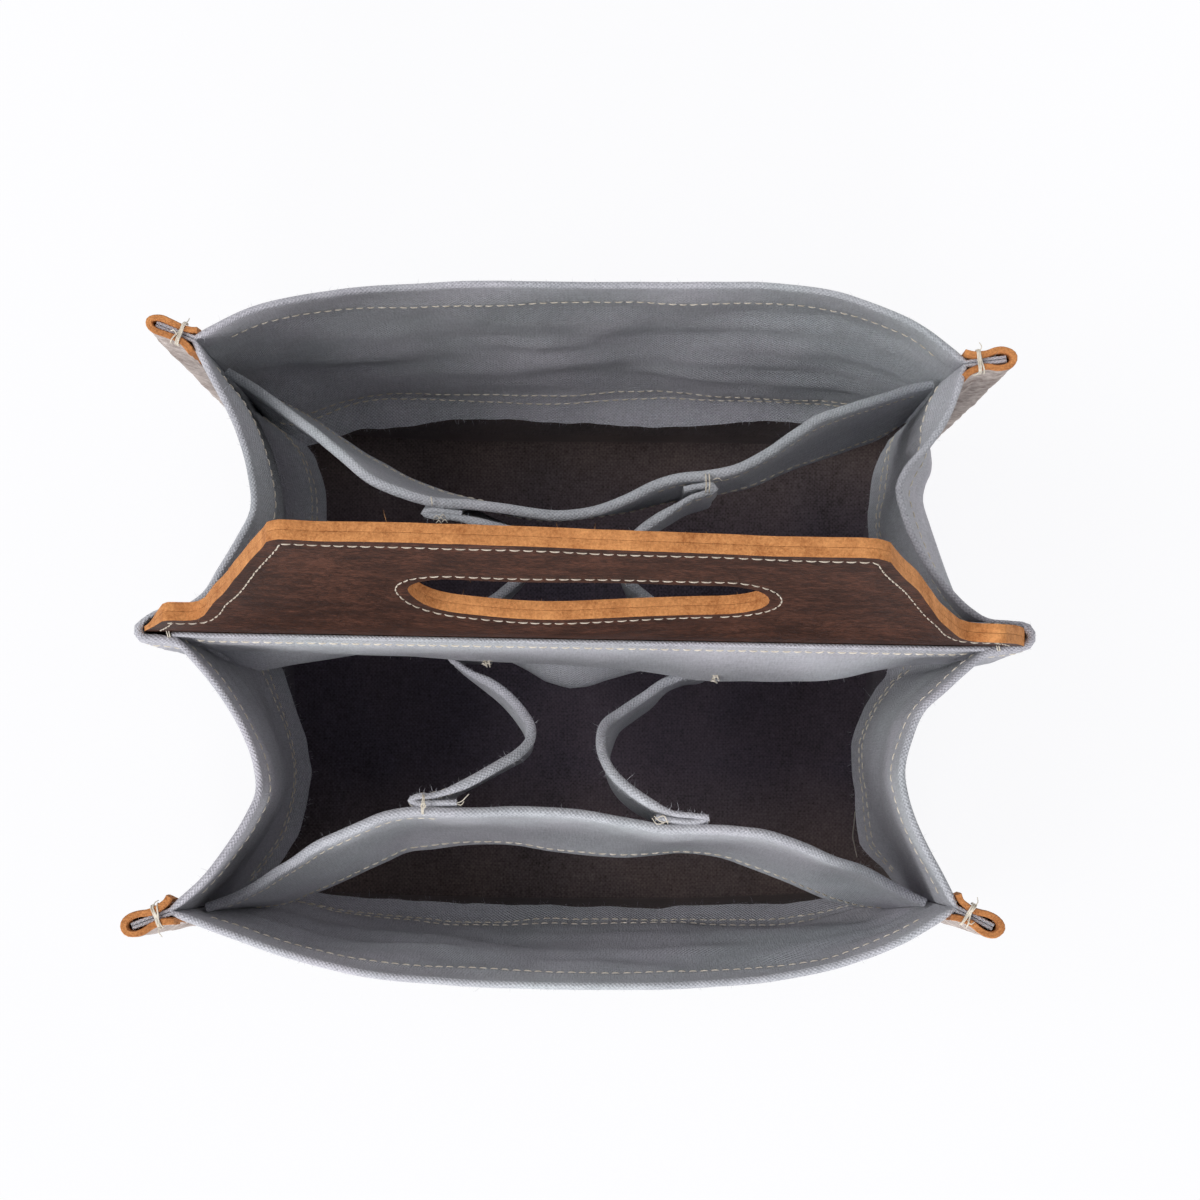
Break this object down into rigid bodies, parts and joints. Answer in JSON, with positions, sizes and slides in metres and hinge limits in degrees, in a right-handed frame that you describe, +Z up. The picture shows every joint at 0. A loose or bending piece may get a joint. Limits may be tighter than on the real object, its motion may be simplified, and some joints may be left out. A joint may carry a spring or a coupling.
{
  "type": "beer carrier",
  "caption": "Open canvas carrier with sewn bottle cells, leather-bound corner seams and an upright leather handle with a hand slot.",
  "frame": {"origin": "middle of the underside of the bottom panel, on the ground", "axes": "+X to the right along the handle, +Y to the back, +Z up"},
  "size_m": [0.262, 0.2038, 0.2421],
  "materials": {
    "grey_canvas": "matt, waxed plain weave",
    "dark_canvas": "matt, waxed plain weave",
    "handle_leather": "smooth, slightly glossy",
    "binding_leather": "matt, raw cut edges"
  },
  "bodies": {
    "root": {"bottom_panel": "dark_canvas", "front_wall": "grey_canvas", "back_wall": "grey_canvas", "left_side_panel": "grey_canvas", "right_side_panel": "grey_canvas", "centre_divider": "grey_canvas", "centre_band_front": "grey_canvas", "centre_band_back": "grey_canvas", "handle_front_leather": "handle_leather", "handle_back_leather": "handle_leather", "front_divider_strip": "grey_canvas", "back_divider_strip": "grey_canvas", "cross_divider_front_left": "grey_canvas", "cross_divider_front_right": "grey_canvas", "cross_divider_back_left": "grey_canvas", "cross_divider_back_right": "grey_canvas", "corner_binding_front_left": "binding_leather", "corner_binding_front_right": "binding_leather", "corner_binding_back_left": "binding_leather", "corner_binding_back_right": "binding_leather"}
  },
  "joints": []
}
